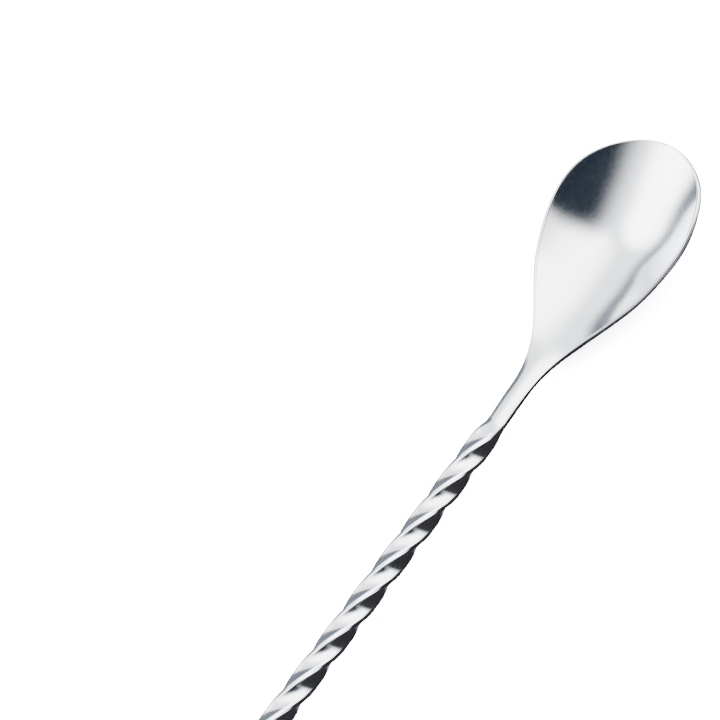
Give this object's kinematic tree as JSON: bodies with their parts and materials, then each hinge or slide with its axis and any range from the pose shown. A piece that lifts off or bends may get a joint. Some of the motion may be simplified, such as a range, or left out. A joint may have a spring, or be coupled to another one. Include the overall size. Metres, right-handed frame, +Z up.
{
  "type": "bar spoon",
  "caption": "Long bar spoon with an oval bowl, a twisted square stem that spins between the fingers, and a teardrop counterweight; for stirring, layering and measuring drinks.",
  "frame": {"origin": "under the middle of the overall length, on the plane the teardrop weight touches; the spoon lies with the hollow of its bowl up and the stem axis is 5 mm above this plane", "axes": "+X from the tail to the tip of the bowl, +Y to the left when looking towards the tip, +Z up out of the hollow of the bowl"},
  "size_m": [0.3, 0.0266, 0.0165],
  "materials": {
    "bowl_steel": "satin polish, softly blurred reflections",
    "stem_steel": "satin polish, softly blurred reflections",
    "weight_steel": "satin polish, turned",
    "braze": "ground flush, slightly duller and warmer than the steel"
  },
  "bodies": {
    "root": {"bowl": "bowl_steel", "neck_braze": "braze", "twisted_stem": "stem_steel", "tail_braze": "braze", "teardrop_weight": "weight_steel"}
  },
  "joints": []
}
